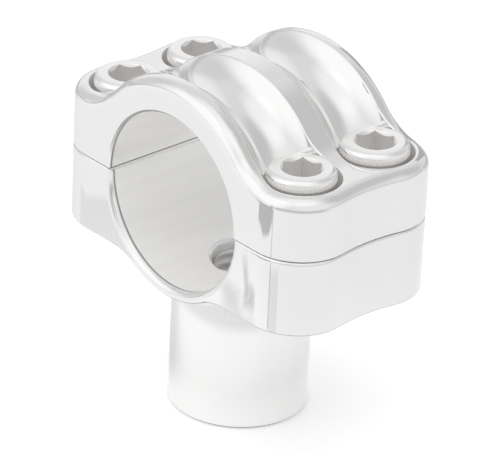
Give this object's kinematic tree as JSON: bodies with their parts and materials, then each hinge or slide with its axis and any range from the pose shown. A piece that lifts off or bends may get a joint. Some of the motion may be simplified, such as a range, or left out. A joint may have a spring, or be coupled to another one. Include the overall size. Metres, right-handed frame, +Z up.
{
  "type": "motorcycle bar riser",
  "caption": "Chromed motorcycle handlebar riser: a round stem with a two-piece clamp, a fluted arched cap held by socket head cap screws",
  "frame": {"origin": "centre of the stem's foot, on the surface that it stands on", "axes": "+Z up the stem, Y along the handlebar's axis, X across the clamp from ear to ear"},
  "size_m": [0.0626, 0.0348, 0.0647],
  "materials": {
    "body_chrome": "polished chrome plate, satin machined bore",
    "cap_chrome": "polished chrome plate, satin machined bore",
    "screw_chrome": "bright chrome plate over knurled heads"
  },
  "bodies": {
    "root": {"riser_body": "body_chrome", "clamp_cap": "cap_chrome", "cap_screw_front_left": "screw_chrome", "cap_screw_front_right": "screw_chrome", "cap_screw_back_left": "screw_chrome", "cap_screw_back_right": "screw_chrome"}
  },
  "joints": []
}
